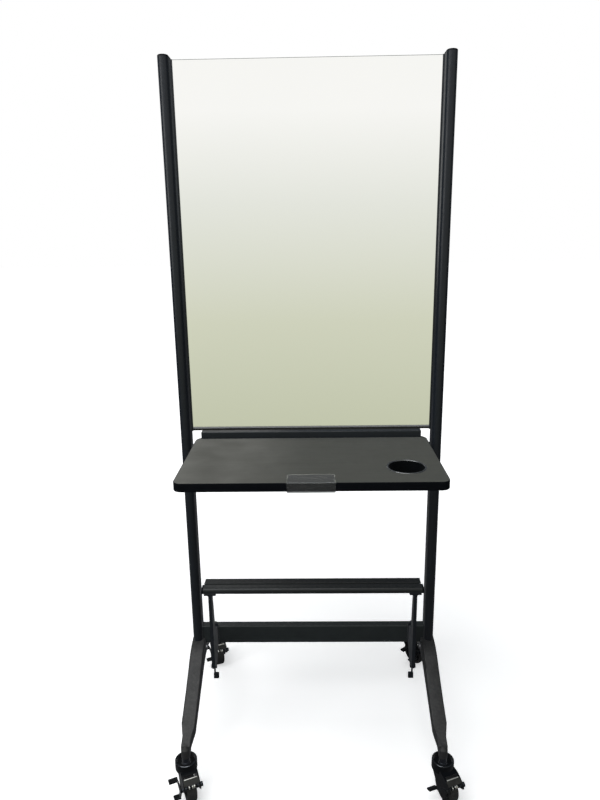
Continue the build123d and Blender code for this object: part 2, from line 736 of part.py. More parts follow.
def build_tread():
    """Hollow footrest bar: a rounded nose, a deep groove and a finely grooved strip behind it."""
    strip_front = TREAD_SPLIT_Y + SPLIT_WIDTH
    strip_middle = (strip_front + TREAD_REAR_Y) / 2
    with BuildPart() as tread:
        with BuildSketch(Plane.YZ.offset(-TREAD_LENGTH / 2)):
            with BuildLine():
                FilletPolyline(
                    (TREAD_FRONT_Y, TREAD_BOTTOM),
                    (TREAD_FRONT_Y, NOSE_TOP),
                    (TREAD_SPLIT_Y, NOSE_TOP),
                    (TREAD_SPLIT_Y, NOSE_TOP - SPLIT_DEPTH),
                    (strip_front, NOSE_TOP - SPLIT_DEPTH),
                    (strip_front, STRIP_TOP),
                    (TREAD_REAR_Y, STRIP_TOP),
                    (TREAD_REAR_Y, TREAD_BOTTOM),
                    close=True,
                    radius=[NOSE_LOWER_R, NOSE_UPPER_R, 1.0, 0.5, 0.5, 1.0, 1.5, 1.5],
                )
            make_face()
            with Locations(((TREAD_FRONT_Y + TREAD_REAR_Y) / 2, cavity_middle())):
                Rectangle(
                    TREAD_REAR_Y - TREAD_FRONT_Y - 2 * CAVITY_WALL, CAVITY_HEIGHT, mode=Mode.SUBTRACT
                )
            for number in range(GROOVE_COUNT):
                groove_y = strip_middle + (number - (GROOVE_COUNT - 1) / 2) * GROOVE_PITCH
                with Locations((groove_y, STRIP_TOP)):
                    Rectangle(GROOVE_WIDTH, 2 * GROOVE_DEPTH, mode=Mode.SUBTRACT)
        extrude(amount=TREAD_LENGTH)
        with BuildSketch(Plane.XY.offset(TREAD_BOTTOM)):
            with Locations(tread_screw_places()):
                Circle(M5_HOLE_R)
        extrude(amount=CAVITY_WALL + 1, mode=Mode.SUBTRACT)
    return tread.part


def cavity_middle():
    """Height of the middle of the hollow in the tread."""
    return TREAD_BOTTOM + CAVITY_WALL + CAVITY_HEIGHT / 2


def build_tread_caps():
    """Rounded ends of the tread's nose, each with a tenon that closes the hollow."""
    with BuildPart() as caps:
        with BuildSketch(Plane.YZ.offset(TREAD_LENGTH / 2)):
            add(nose_outline())
        extrude(amount=TREAD_CAP)
        fillet(caps.faces().sort_by(Axis.X)[-1].edges(), 0.9)
        with BuildSketch(Plane.YZ.offset(TREAD_LENGTH / 2)):
            with Locations(((TREAD_FRONT_Y + TREAD_REAR_Y) / 2, cavity_middle())):
                Rectangle(
                    TREAD_REAR_Y - TREAD_FRONT_Y - 2 * CAVITY_WALL - 0.4, CAVITY_HEIGHT - 0.4
                )
        extrude(amount=-CAP_TENON)
        mirror(about=Plane.YZ)
    return caps.part


def build_footrest_bracket(side):
    """Upright fin from the crossbar's face to the tread, with a lug and tab below the bar."""
    bar_top = CROSSBAR_BOTTOM + CROSSBAR_HEIGHT
    bar_front = -CROSSBAR_DEPTH / 2
    inner = side * FIN_X - FIN_THICKNESS / 2
    half = FIN_THICKNESS / 2
    low = PAD_LOW - PAD_FLARE

    with BuildPart() as bracket:
        with BuildSketch(lengthwise(inner)):
            with BuildLine():
                Polyline(
                    (FIN_FRONT_Y, PAD_LOW + 1),
                    (FIN_FRONT_Y, FIN_TIP_Z + 8),
                    (FIN_FRONT_Y + 6, FIN_TIP_Z),
                    (-62, FIN_TIP_Z - 5),
                    (-48, FIN_TIP_Z - 2),
                    (bar_front - FLANGE_THICKNESS, FLANGE_BOTTOM),
                    (bar_front - FLANGE_THICKNESS, bar_top + 4),
                    (-34, bar_top + 9),
                    (-52, bar_top + 22),
                    (-66, PAD_LOW + 1),
                    close=True,
                )
            make_face()
        extrude(amount=FIN_THICKNESS)
        fillet(bracket.edges().filter_by(Axis.X).group_by(Axis.Y)[0], 2)
        # Pad under the tread, with a flare from the fin on both sides.
        with BuildSketch(Plane.XZ.offset(-FIN_FRONT_Y)):
            with BuildLine():
                Polyline(
                    (side * FIN_X - half, low),
                    (side * FIN_X - half - 0.3 * PAD_FLARE, low + 0.65 * PAD_FLARE),
                    (side * FIN_X - half - PAD_FLARE, PAD_LOW),
                    (side * FIN_X - PAD_HALF, PAD_LOW),
                    (side * FIN_X - PAD_HALF, TREAD_BOTTOM),
                    (side * FIN_X + PAD_HALF, TREAD_BOTTOM),
                    (side * FIN_X + PAD_HALF, PAD_LOW),
                    (side * FIN_X + half + PAD_FLARE, PAD_LOW),
                    (side * FIN_X + half + 0.3 * PAD_FLARE, low + 0.65 * PAD_FLARE),
                    (side * FIN_X + half, low),
                    close=True,
                )
            make_face()
        extrude(amount=FIN_FRONT_Y + 46)
        # Flange on the crossbar.
        with BuildSketch(Plane.XZ.offset(-bar_front)):
            with Locations((side * FIN_X, (FLANGE_BOTTOM + FLANGE_TOP) / 2)):
                RectangleRounded(FLANGE_WIDTH, FLANGE_TOP - FLANGE_BOTTOM, 6)
        extrude(amount=FLANGE_THICKNESS)
        # Lug through the tip of the fin, and the square tab that hangs from it.
        with BuildSketch(lengthwise(side * FIN_X - FIN_BOSS_LENGTH / 2)):
            with Locations((-76, FIN_TIP_Z + 6)):
                Circle(FIN_BOSS_R)
        extrude(amount=FIN_BOSS_LENGTH)
        with BuildSketch(Plane.XZ.offset(79)):
            with Locations((side * (FIN_X - 1.5), FIN_TIP_Z - 8)):
                Rectangle(4, 26)
            with Locations((side * (FIN_X - 5), FIN_TIP_Z - 24)):
                RectangleRounded(14.5, 17, 2)
        extrude(amount=-6)
        with BuildSketch(Plane.XZ.offset(-bar_front)):
            with Locations(flange_bolt_places()):
                Circle(M5_HOLE_R)
        extrude(amount=FLANGE_THICKNESS + FLANGE_BOLT_GRIP + 1, mode=Mode.SUBTRACT)
        with BuildSketch(Plane.XY.offset(PAD_LOW)):
            with Locations(tread_screw_places()):
                Circle(M5_HOLE_R)
        extrude(amount=PAD_THICKNESS, mode=Mode.SUBTRACT)
    return bracket.part


def build_footrest_screws():
    """Pan-head screws from below into the tread."""
    with BuildPart() as screws:
        with BuildSketch(Plane.XY.offset(PAD_LOW)):
            with Locations(tread_screw_places()):
                Circle(M5_R)
        extrude(amount=PAD_THICKNESS + CAVITY_WALL + 1)
        with BuildSketch(Plane.XY.offset(PAD_LOW)):
            with Locations(tread_screw_places()):
                Circle(3.4)
        extrude(amount=-2.6)
    return screws.part


def build_footrest_bracket_bolts():
    """Bolts through the crossbar into the bracket flanges, with their heads at the rear."""
    rear = CROSSBAR_DEPTH / 2
    with BuildPart() as bolts:
        with BuildSketch(Plane.XZ.offset(-rear)):
            with Locations(flange_bolt_places()):
                Circle(M5_R)
        extrude(amount=CROSSBAR_DEPTH + FLANGE_THICKNESS + FLANGE_BOLT_GRIP)
        with BuildSketch(Plane.XZ.offset(-rear)):
            with Locations(flange_bolt_places()):
                RegularPolygon(4.6, 6)
        extrude(amount=-4)
    return bolts.part


# ---- Casters ----
def build_stem(corner):
    """Kingpin, flange, round nut and stem: fixed in the foot, and the fork turns on it."""
    with BuildPart() as stem:
        for height, radius, end in (
            (CROWN_BOTTOM + 0.2, KINGPIN_HEAD_R, RECESS_TOP - 0.3),
            (RECESS_TOP - 0.3, KINGPIN_R, DISH_FLOOR + 0.3),
            (DISH_FLOOR + 0.3, STEM_FLANGE_R, STEM_FLANGE_TOP),
            (STEM_FLANGE_TOP, STEM_NUT_R, SOCKET_BOTTOM),
            (SOCKET_BOTTOM, STEM_R, STEM_TOP),
        ):
            with BuildSketch(level(corner, height)):
                Circle(radius)
            extrude(amount=end - height)
    return stem.part


def cheek_outline():
    """Side outline of the fork: crown to axle, with a guard over the front of the wheel."""
    end = radians(CHEEK_END_ANGLE)
    with BuildSketch(mode=Mode.PRIVATE) as outline:
        with Locations((TRAIL, AXLE_Z)):
            Circle(HOOD_R)
        with BuildLine():
            Polyline(
                (TRAIL, AXLE_Z),
                (TRAIL, AXLE_Z + 100),
                (TRAIL + 140, AXLE_Z + 100),
                (TRAIL + 140, AXLE_Z + 140 * tan(end)),
                close=True,
            )
        make_face(mode=Mode.INTERSECT)
        with BuildLine():
            Polyline(
                (-16, DISH_FLOOR - 2),
                (-16, CROWN_BOTTOM - 3),
                (TRAIL - AXLE_BOSS_R + 0.6, AXLE_Z - 3),
                (TRAIL + AXLE_BOSS_R - 2, AXLE_Z - 3),
                (TRAIL + 18, AXLE_Z + 17),
                (TRAIL, DISH_FLOOR - 4),
                close=True,
            )
        make_face()
        with Locations((TRAIL, AXLE_Z)):
            Circle(AXLE_BOSS_R)
    return outline.sketch


def build_fork(corner):
    """Swivelling fork: round dished crown, two cheeks and a hood with a window."""
    low = radians(WINDOW_LOW_ANGLE)
    high = radians(WINDOW_HIGH_ANGLE)
    end = radians(HOOD_END_ANGLE)
    outline = cheek_outline()
    with BuildPart() as fork:
        with BuildSketch(level(corner, CROWN_BOTTOM)):
            Circle(CROWN_R)
        extrude(amount=CROWN_TOP - CROWN_BOTTOM)
        fillet(fork.edges().group_by(Axis.Z)[-1], 1.5)
        with BuildSketch(level(corner, DISH_FLOOR)):
            Circle(DISH_R)
        extrude(amount=20, mode=Mode.SUBTRACT)
        for start in (CHEEK_OUTER, -CHEEK_INNER):
            with BuildSketch(alongside(corner, start)):
                add(outline)
            extrude(amount=CHEEK_THICKNESS)
        with BuildSketch(alongside(corner, CHEEK_OUTER)):
            with Locations((TRAIL, AXLE_Z)):
                Circle(HOOD_R)
                Circle(HOOD_R - HOOD_THICKNESS, mode=Mode.SUBTRACT)
            with BuildLine():
                Polyline(
                    (TRAIL, AXLE_Z),
                    (TRAIL - 6, AXLE_Z + 100),
                    (TRAIL + 60, AXLE_Z + 100),
                    (TRAIL + 100 * cos(end), AXLE_Z + 100 * sin(end)),
                    close=True,
                )
            make_face(mode=Mode.INTERSECT)
        extrude(amount=2 * CHEEK_OUTER)
        # Window through the hood.
        with BuildSketch(alongside(corner, WINDOW_WIDTH / 2)):
            with BuildLine():
                Polyline(
                    (TRAIL, AXLE_Z),
                    (TRAIL + 80 * cos(low), AXLE_Z + 80 * sin(low)),
                    (TRAIL + 80 * cos(high), AXLE_Z + 80 * sin(high)),
                    close=True,
                )
            make_face()
        extrude(amount=WINDOW_WIDTH, mode=Mode.SUBTRACT)
        with BuildSketch(level(corner, 0)):
            Circle(KINGPIN_R + RUNNING_GAP)
        extrude(amount=CROWN_TOP + 5, mode=Mode.SUBTRACT)
        with BuildSketch(level(corner, 0)):
            Circle(RECESS_R)
        extrude(amount=RECESS_TOP, mode=Mode.SUBTRACT)
        with BuildSketch(alongside(corner, CHEEK_OUTER + 1)):
            with Locations((TRAIL, AXLE_Z)):
                Circle(AXLE_R + RUNNING_GAP)
            with Locations((BRAKE_FORWARD, BRAKE_Z)):
                Circle(BRAKE_SHAFT_R + RUNNING_GAP)
        extrude(amount=2 * CHEEK_OUTER + 2, mode=Mode.SUBTRACT)
    return fork.part


def build_axle(corner):
    """Axle bolt with a round head and a hexagon nut outside the cheeks."""
    with BuildPart() as axle:
        with BuildSketch(alongside(corner, CHEEK_OUTER)):
            with Locations((TRAIL, AXLE_Z)):
                Circle(AXLE_R)
        extrude(amount=2 * CHEEK_OUTER)
        with BuildSketch(alongside(corner, -CHEEK_OUTER)):
            with Locations((TRAIL, AXLE_Z)):
                Circle(6.4)
        extrude(amount=4)
        with BuildSketch(alongside(corner, CHEEK_OUTER)):
            with Locations((TRAIL, AXLE_Z)):
                RegularPolygon(6.6, 6)
        extrude(amount=-5)
    return axle.part


def build_wheel(corner):
    """Wheel core: hub, web with lightening holes and the rim under the tyre."""
    with BuildPart() as wheel:
        with BuildSketch(alongside(corner, WHEEL_WIDTH / 2 - 1)):
            with Locations((TRAIL, AXLE_Z)):
                Circle(CORE_R)
        extrude(amount=WHEEL_WIDTH - 2)
        for face_at, depth in ((WHEEL_WIDTH / 2 - 1, 8), (-(WHEEL_WIDTH / 2 - 1), -8)):
            with BuildSketch(alongside(corner, face_at)):
                with Locations((TRAIL, AXLE_Z)):
                    Circle(CORE_R - 4)
                    Circle(HUB_R, mode=Mode.SUBTRACT)
            extrude(amount=depth, mode=Mode.SUBTRACT)
        with BuildSketch(alongside(corner, WHEEL_WIDTH / 2)):
            with Locations((TRAIL, AXLE_Z)):
                with PolarLocations(16.8, 6):
                    Circle(3.8)
        extrude(amount=WHEEL_WIDTH, mode=Mode.SUBTRACT)
        with BuildSketch(alongside(corner, HUB_HALF)):
            with Locations((TRAIL, AXLE_Z)):
                Circle(HUB_R)
        extrude(amount=2 * HUB_HALF)
        with BuildSketch(alongside(corner, HUB_HALF)):
            with Locations((TRAIL, AXLE_Z)):
                Circle(AXLE_R + RUNNING_GAP)
        extrude(amount=2 * HUB_HALF, mode=Mode.SUBTRACT)
    return wheel.part


def build_tyre(corner):
    """Tread ring with rounded shoulders."""
    with BuildPart() as tyre:
        with BuildSketch(alongside(corner, WHEEL_WIDTH / 2)):
            with Locations((TRAIL, AXLE_Z)):
                Circle(WHEEL_R)
        extrude(amount=WHEEL_WIDTH)
        fillet(tyre.edges(), 5)
        with BuildSketch(alongside(corner, WHEEL_WIDTH / 2)):
            with Locations((TRAIL, AXLE_Z)):
                Circle(CORE_R)
        extrude(amount=WHEEL_WIDTH, mode=Mode.SUBTRACT)
    return tyre.part


def at_brake_rest(part, corner):
    """Turn a brake piece about its shaft if this corner's brake stands pressed."""
    if corner not in PRESSED_BRAKES:
        return part
    side_plane = alongside(corner, 0)
    pivot = side_plane.from_local_coords((BRAKE_FORWARD, BRAKE_Z, 0))
    return part.rotate(Axis(pivot, side_plane.z_dir), BRAKE_TRAVEL)


def build_brake_shaft(corner):
    """Cross shaft with a knob at its right end and the brake shoe between the cheeks."""
    shoe_forward = BRAKE_FORWARD - SHOE_LENGTH / 2 * sin(radians(BRAKE_ANGLE))
    shoe_z = BRAKE_Z + SHOE_LENGTH / 2 * cos(radians(BRAKE_ANGLE))
    with BuildPart() as shaft:
        with BuildSketch(alongside(corner, CHEEK_OUTER + 1)):
            with Locations((BRAKE_FORWARD, BRAKE_Z)):
                Circle(BRAKE_SHAFT_R)
        extrude(amount=CHEEK_OUTER + 1 + PEDAL_NEAR)
        with BuildSketch(alongside(corner, CHEEK_OUTER + 6)):
            with Locations((BRAKE_FORWARD, BRAKE_Z)):
                Circle(BRAKE_KNOB_R)
        extrude(amount=5.4)
        fillet(shaft.edges().sort_by(Edge.length)[-2:], 1.2)
        with BuildSketch(alongside(corner, 12)):
            with Locations((shoe_forward, shoe_z)):
                Rectangle(SHOE_LENGTH, SHOE_THICKNESS, rotation=BRAKE_ANGLE + 90)
        extrude(amount=24)
    return at_brake_rest(shaft.part, corner)


def build_brake_pedal(corner):
    """Rocker plate outside the left cheek, with an upper and a lower toe paddle."""
    upper = (8.0, 55.0)
    lower = (36.0, 29.0)
    with BuildPart() as pedal:
        with BuildSketch(alongside(corner, -PEDAL_NEAR)):
            with BuildLine():
                Polyline(
                    (BRAKE_FORWARD + 5, BRAKE_Z - 2.5),
                    (BRAKE_FORWARD + 3.5, BRAKE_Z + 4.5),
                    (BRAKE_FORWARD - 5, BRAKE_Z + 5),
                    (upper[0], upper[1] + 3),
                    (upper[0], upper[1] - 3),
                    (BRAKE_FORWARD - 16, BRAKE_Z - 14),
                    (lower[0] - 4, lower[1]),
                    (lower[0] + 4, lower[1] - 3),
                    close=True,
                )
            make_face()
        extrude(amount=PEDAL_FAR - PEDAL_NEAR)
        for (forward, height), length in ((upper, 23.0), (lower, 17.0)):
            with BuildSketch(alongside(corner, -PEDAL_NEAR)):
                with Locations((forward, height)):
                    SlotOverall(16, 6)
            extrude(amount=length)
    return at_brake_rest(pedal.part, corner)


def main():
    """Build every piece and write it out."""
    os.makedirs("parts", exist_ok=True)
    for name, side in SIDES.items():
        save(build_post(side), f"{name}_post")
        save(build_foot(side), f"{name}_foot")
        save(build_mirror_stile(side), f"{name}_mirror_stile")
        save(build_shelf_bracket(side), f"{name}_shelf_bracket")
        save(build_footrest_bracket(side), f"{name}_footrest_bracket")
    save(build_post_caps(), "post_top_caps")
    save(build_foot_plugs(), "post_foot_plugs")
    save(build_crossbar(), "crossbar")
    save(build_foot_bolts(), "foot_bolts")
    save(build_mirror_glass(), "mirror_glass")
    save(build_mirror_backboard(), "mirror_backboard")
    save(build_stile_screws(), "mirror_stile_screws")
    save(build_mirror_rail(), "mirror_rail")
    save(build_shelf_board(), "shelf_board")
    save(build_shelf_band(), "shelf_edge_band")
    save(build_shelf_bracket_bolts(), "shelf_bracket_bolts")
    save(build_shelf_screws(), "shelf_screws")
    save(build_dryer_cup(), "dryer_cup")
    save(build_cup_rim(), "dryer_cup_rim")
    save(build_edge_guard(), "clear_edge_guard")
    save(build_tread(), "footrest_tread")
    save(build_tread_caps(), "footrest_end_caps")
    save(build_footrest_screws(), "footrest_screws")
    save(build_footrest_bracket_bolts(), "footrest_bracket_bolts")
    for corner in CORNERS:
        save(build_stem(corner), f"{corner}_stem")
        save(build_fork(corner), f"{corner}_fork")
        save(build_axle(corner), f"{corner}_axle")
        save(build_wheel(corner), f"{corner}_wheel")
        save(build_tyre(corner), f"{corner}_tyre")
        save(build_brake_shaft(corner), f"{corner}_brake_shaft")
        save(build_brake_pedal(corner), f"{corner}_brake_pedal")


main()
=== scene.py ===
"""Looks for the mobile salon styling station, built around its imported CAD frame.

Metres. -Y is the front, +Z is up, and the origin is on the floor under the middle of the
station's box. The posts, which everything is centred on, stand a little to one side of it.
"""

import json
import math

import bmesh
import bpy
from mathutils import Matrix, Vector


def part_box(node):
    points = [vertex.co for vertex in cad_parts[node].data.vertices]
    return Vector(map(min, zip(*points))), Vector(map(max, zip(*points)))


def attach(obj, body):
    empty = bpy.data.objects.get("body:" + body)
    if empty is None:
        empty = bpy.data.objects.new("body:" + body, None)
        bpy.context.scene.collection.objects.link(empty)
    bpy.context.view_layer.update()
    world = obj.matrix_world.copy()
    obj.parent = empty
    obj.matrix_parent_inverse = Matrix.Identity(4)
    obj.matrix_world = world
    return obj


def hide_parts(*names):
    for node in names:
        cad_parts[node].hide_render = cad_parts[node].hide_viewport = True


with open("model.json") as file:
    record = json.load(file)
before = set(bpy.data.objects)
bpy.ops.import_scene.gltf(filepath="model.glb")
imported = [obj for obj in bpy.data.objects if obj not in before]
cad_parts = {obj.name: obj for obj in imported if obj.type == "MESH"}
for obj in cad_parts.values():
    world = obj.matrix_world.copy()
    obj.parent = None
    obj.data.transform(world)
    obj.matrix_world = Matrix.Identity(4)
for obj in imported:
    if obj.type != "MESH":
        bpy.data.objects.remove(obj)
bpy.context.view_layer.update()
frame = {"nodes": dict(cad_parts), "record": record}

CORNERS = ("front_left", "front_right", "rear_left", "rear_right")
SIDES = ("left", "right")
MM = 0.001


def middle_of(*nodes):
    """The middle of the box round these CAD nodes."""
    boxes = [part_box(node) for node in nodes]
    return Vector([(min(b[0][i] for b in boxes) + max(b[1][i] for b in boxes)) / 2 for i in range(3)])


POSTS = middle_of("left_post", "right_post")


# ---- Camera ----
# Fitted to the posts, mirror, shelf, footrest, feet and casters, as the photograph shows them.
CAMERA_LENS = 28.8
CAMERA_SENSOR = 36.0
CAMERA_FROM_POSTS = (0.003, -1.6225)
CAMERA_HEIGHT = 1.395
CAMERA_TURN = (75.555, 0.805, 0.867)  # degrees about X, Y and Z


def make_camera():
    """A standing viewpoint in front of the mirror, looking slightly down."""
    data = bpy.data.cameras.new("camera")
    data.sensor_width = CAMERA_SENSOR
    data.lens = CAMERA_LENS
    data.clip_start = 0.05
    camera = bpy.data.objects.new("camera", data)
    x, y = CAMERA_FROM_POSTS
    camera.location = (POSTS.x + x, POSTS.y + y, CAMERA_HEIGHT)
    camera.rotation_euler = [math.radians(turn) for turn in CAMERA_TURN]
    bpy.context.scene.collection.objects.link(camera)
    bpy.context.scene.camera = camera


# ---- Node helpers ----
class Shader:
    """A new material with one Principled shader, and short ways to add nodes to it."""

    def __init__(self, name):
        self.material = bpy.data.materials.new(name)
        self.material.use_nodes = True
        self.tree = self.material.node_tree
        self.surface = self.tree.nodes["Principled BSDF"]
        self.place = self.node("ShaderNodeTexCoord").outputs["Object"]

    def node(self, kind, **settings):
        made = self.tree.nodes.new(kind)
        for key, value in settings.items():
            setattr(made, key, value)
        return made

    def link(self, source, target):
        self.tree.links.new(source, target)

    def set(self, **values):
        """Constants on the shader's own sockets."""
        for key, value in values.items():
            self.surface.inputs[key.replace("_", " ")].default_value = value

    def scaled(self, scale):
        """Object coordinates, stretched by a scale for each axis."""
        mapping = self.node("ShaderNodeMapping")
        mapping.inputs["Scale"].default_value = scale
        self.link(self.place, mapping.inputs["Vector"])
        return mapping.outputs["Vector"]

    def noise(self, scale, detail=3.0, roughness=0.5, vector=None):
        """Noise in the object's own metres: a scale of 100 makes grains of about a centimetre."""
        made = self.node("ShaderNodeTexNoise")
        made.inputs["Scale"].default_value = scale
        made.inputs["Detail"].default_value = detail
        made.inputs["Roughness"].default_value = roughness
        self.link(vector or self.place, made.inputs["Vector"])
        return made.outputs["Fac"]

    def remap(self, value, low_in, high_in, low_out, high_out):
        """A value carried from one range to another, and held inside it."""
        made = self.node("ShaderNodeMapRange")
        made.inputs["From Min"].default_value = low_in
        made.inputs["From Max"].default_value = high_in
        made.inputs["To Min"].default_value = low_out
        made.inputs["To Max"].default_value = high_out
        self.link(value, made.inputs["Value"])
        return made.outputs["Result"]

    def ramp(self, value, stops):
        """Colours between stops, each a position and a colour."""
        made = self.node("ShaderNodeValToRGB")
        elements = made.color_ramp.elements
        while len(elements) < len(stops):
            elements.new(0.5)
        for element, (position, colour) in zip(elements, stops):
            element.position = position
            element.color = (*colour, 1.0)
        self.link(value, made.inputs["Fac"])
        return made.outputs["Color"]

    def blend(self, amount, first, second):
        """Mix two colours, each a constant or a socket, by a value socket."""
        made = self.node("ShaderNodeMix", data_type="RGBA")
        for socket, colour in (("A", first), ("B", second)):
            target = [i for i in made.inputs if i.name == socket and i.type == "RGBA"][0]
            if isinstance(colour, tuple):
                target.default_value = (*colour, 1.0)
            else:
                self.link(colour, target)
        factor = [i for i in made.inputs if i.name == "Factor" and i.type == "VALUE"][0]
        self.link(amount, factor)
        return [o for o in made.outputs if o.type == "RGBA"][0]

    def math(self, operation, first, second):
        """One operation on two values, each a constant or a socket."""
        made = self.node("ShaderNodeMath", operation=operation)
        for socket, value in zip(made.inputs, (first, second)):
            if isinstance(value, (int, float)):
                socket.default_value = value
            else:
                self.link(value, socket)
        return made.outputs["Value"]

    def bump(self, height, strength, distance):
        """Shallow relief from a value socket, this many metres deep."""
        made = self.node("ShaderNodeBump")
        made.inputs["Strength"].default_value = strength
        made.inputs["Distance"].default_value = distance
        self.link(height, made.inputs["Height"])
        self.link(made.outputs["Normal"], self.surface.inputs["Normal"])

    def upward(self):
        """How far the surface faces up, from -1 to 1, in the object's own axes."""
        split = self.node("ShaderNodeSeparateXYZ")
        normal = self.node("ShaderNodeTexCoord").outputs["Normal"]
        self.link(normal, split.inputs["Vector"])
        return split.outputs["Z"]

    def height(self):
        """How high the point is, in the object's own axes."""
        split = self.node("ShaderNodeSeparateXYZ")
        self.link(self.place, split.inputs["Vector"])
        return split.outputs["Z"]

    def color(self, socket):
        self.link(socket, self.surface.inputs["Base Color"])

    def rough(self, socket):
        self.link(socket, self.surface.inputs["Roughness"])


DUST = (0.16, 0.155, 0.145)
BRUSH = (900.0, 40.0, 40.0)


def powder_coat(name, dark, light, roughness):
    """Satin powder coat: faint mottling, orange peel, and a little dust on what faces up."""
    s = Shader(name)
    s.set(Specular_IOR_Level=0.32)
    mottle = s.noise(38.0, 4.0, 0.6)
    coat = s.ramp(mottle, [(0.3, dark), (0.7, light)])
    facing_up = s.remap(s.upward(), 0.35, 1.0, 0.0, 1.0)
    specks = s.remap(s.noise(140.0, 5.0, 0.7), 0.42, 0.7, 0.0, 0.16)
    s.color(s.blend(s.math("MULTIPLY", facing_up, specks), coat, DUST))
    s.rough(s.remap(s.noise(75.0, 3.0), 0.25, 0.75, roughness - 0.05, roughness + 0.06))
    s.bump(s.noise(950.0, 2.0, 0.45), 0.22, 0.00025)
    return s.material


def moulded(name, dark, light, roughness, grain, specular):
    """Moulded plastic with a fine grain. It also makes the mirror glass's edge, and the pale painted
    highlight on the clear guard's edges.
    """
    s = Shader(name)
    s.set(Specular_IOR_Level=specular)
    s.color(s.ramp(s.noise(60.0, 4.0, 0.6), [(0.3, dark), (0.72, light)]))
    s.rough(s.remap(s.noise(120.0, 3.0), 0.25, 0.75, roughness - 0.06, roughness + 0.08))
    s.bump(s.noise(grain, 2.0, 0.5), 0.2, 0.0002)
    return s.material


def metal(name, dark, light, roughness):
    """Plated or brushed metal with fine scratches, all across X."""
    s = Shader(name)
    s.set(Metallic=1.0)
    scratches = s.noise(1.0, 3.0, 0.6, s.scaled(BRUSH))
    s.color(s.ramp(scratches, [(0.3, dark), (0.7, light)]))
    s.rough(s.remap(s.noise(220.0, 4.0), 0.3, 0.7, roughness * 0.7, roughness * 1.3))
    s.bump(scratches, 0.1, 0.0001)
    return s.material


def mirror_silver(name):
    """Silvered glass: nearly perfect, with the faint haze of a wiped surface."""
    s = Shader(name)
    s.set(Metallic=1.0)
    s.color(s.ramp(s.noise(1.3, 2.0), [(0.35, (0.93, 0.945, 0.935)), (0.65, (0.945, 0.955, 0.945))]))
    s.rough(s.remap(s.noise(9.0, 5.0, 0.6), 0.35, 0.8, 0.004, 0.03))
    return s.material


def laminate(name):
    """Dark grey-brown laminate: fine streaks along the shelf, and a satin sheen."""
    s = Shader(name)
    s.set(Specular_IOR_Level=0.5)
    streaks = s.noise(1.0, 6.0, 0.65, s.scaled((9.0, 260.0, 260.0)))
    fleck = s.noise(900.0, 2.0, 0.5)
    tone = s.math("ADD", s.math("MULTIPLY", streaks, 0.75), s.math("MULTIPLY", fleck, 0.25))
    s.color(s.ramp(tone, [(0.3, (0.037, 0.038, 0.031)), (0.7, (0.057, 0.058, 0.048))]))
    s.rough(s.remap(s.noise(14.0, 4.0), 0.3, 0.7, 0.36, 0.46))
    s.bump(fleck, 0.12, 0.0001)
    return s.material


def board(name):
    """Black painted fibreboard, slightly open-grained."""
    s = Shader(name)
    s.set(Specular_IOR_Level=0.3)
    fibres = s.noise(1.0, 5.0, 0.7, s.scaled((160.0, 160.0, 60.0)))
    s.color(s.ramp(fibres, [(0.3, (0.016, 0.0155, 0.015)), (0.75, (0.032, 0.030, 0.028))]))
    s.rough(s.remap(s.noise(30.0, 4.0), 0.3, 0.7, 0.55, 0.7))
    s.bump(fibres, 0.3, 0.0003)
    return s.material


def clear_plastic(name):
    """Clear plastic with faint handling marks, and a low index so that it hardly bends light."""
    s = Shader(name)
    s.set(Transmission_Weight=0.95, IOR=1.12, Specular_IOR_Level=0.15)
    s.color(s.ramp(s.noise(20.0, 3.0), [(0.3, (0.88, 0.89, 0.86)), (0.7, (0.94, 0.95, 0.92))]))
    s.rough(s.remap(s.noise(60.0, 5.0, 0.7), 0.35, 0.75, 0.02, 0.10))
    return s.material


def tyre_rubber(name):
    """Dark rubber with paler, dustier patches."""
    s = Shader(name)
    s.set(Specular_IOR_Level=0.35)
    wear = s.remap(s.noise(260.0, 5.0, 0.7), 0.4, 0.72, 0.0, 0.5)
    s.color(s.blend(wear, (0.014, 0.014, 0.0145), (0.045, 0.043, 0.041)))
    s.rough(s.remap(s.noise(90.0, 4.0), 0.3, 0.7, 0.5, 0.72))
    s.bump(s.noise(1600.0, 3.0, 0.6), 0.3, 0.0003)
    return s.material


